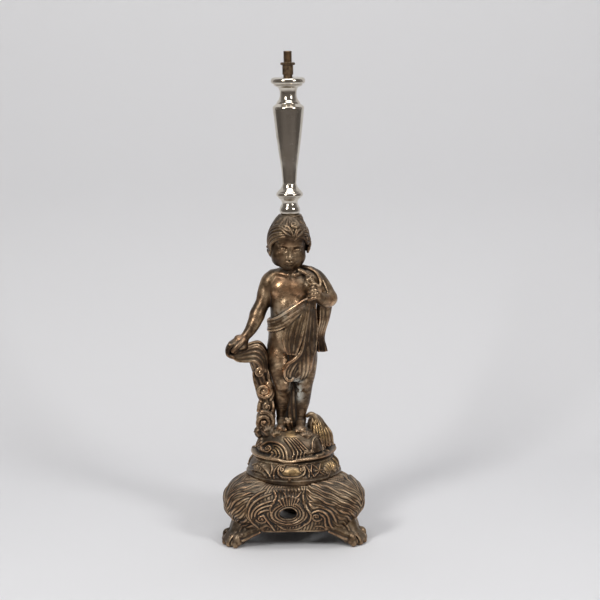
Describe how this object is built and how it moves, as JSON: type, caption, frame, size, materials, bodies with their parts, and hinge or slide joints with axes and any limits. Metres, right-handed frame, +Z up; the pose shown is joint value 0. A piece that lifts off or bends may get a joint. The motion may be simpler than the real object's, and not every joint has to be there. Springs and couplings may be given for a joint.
{
  "type": "lamp base",
  "caption": "Figural table lamp base: a draped child figure on a scrolled mound, drum and footed plinth, carrying a turned plated column and a threaded lamp pipe.",
  "frame": {"origin": "on the surface that the paws stand on, under the middle of the box round the whole lamp; the axis of the column and pipe stands 15.3 mm in front of it, at y = -0.0153, since the plinth has two corners in front and one behind", "axes": "+Z up along the pipe, -Y towards the front of the figure, +X towards the figure's left hand"},
  "size_m": [0.1726, 0.1615, 0.5717],
  "materials": {
    "spelter": "bronze patina over cast zinc alloy, rubbed copper on the high points",
    "plated": "polished nickel plate on turned brass, a little dulled",
    "pipe_brass": "tarnished brass and rust",
    "steel": "plain steel"
  },
  "bodies": {
    "root": {"plinth_shell": "spelter", "drum_shell": "spelter", "mound_shell": "spelter", "scroll_stump": "spelter", "figure_body": "spelter", "figure_head": "spelter", "right_arm": "spelter", "left_arm": "spelter", "side_drape": "spelter", "seat_collar": "plated", "lower_knop": "plated", "tapered_shaft": "plated", "neck_spool": "plated", "column_cap": "plated", "lamp_pipe": "pipe_brass", "pipe_coupling": "pipe_brass", "lock_nut": "pipe_brass", "crown_bush": "steel", "clamp_washer": "steel", "clamp_nut": "steel", "foot_screw_left": "steel", "foot_screw_right": "steel"}
  },
  "joints": []
}
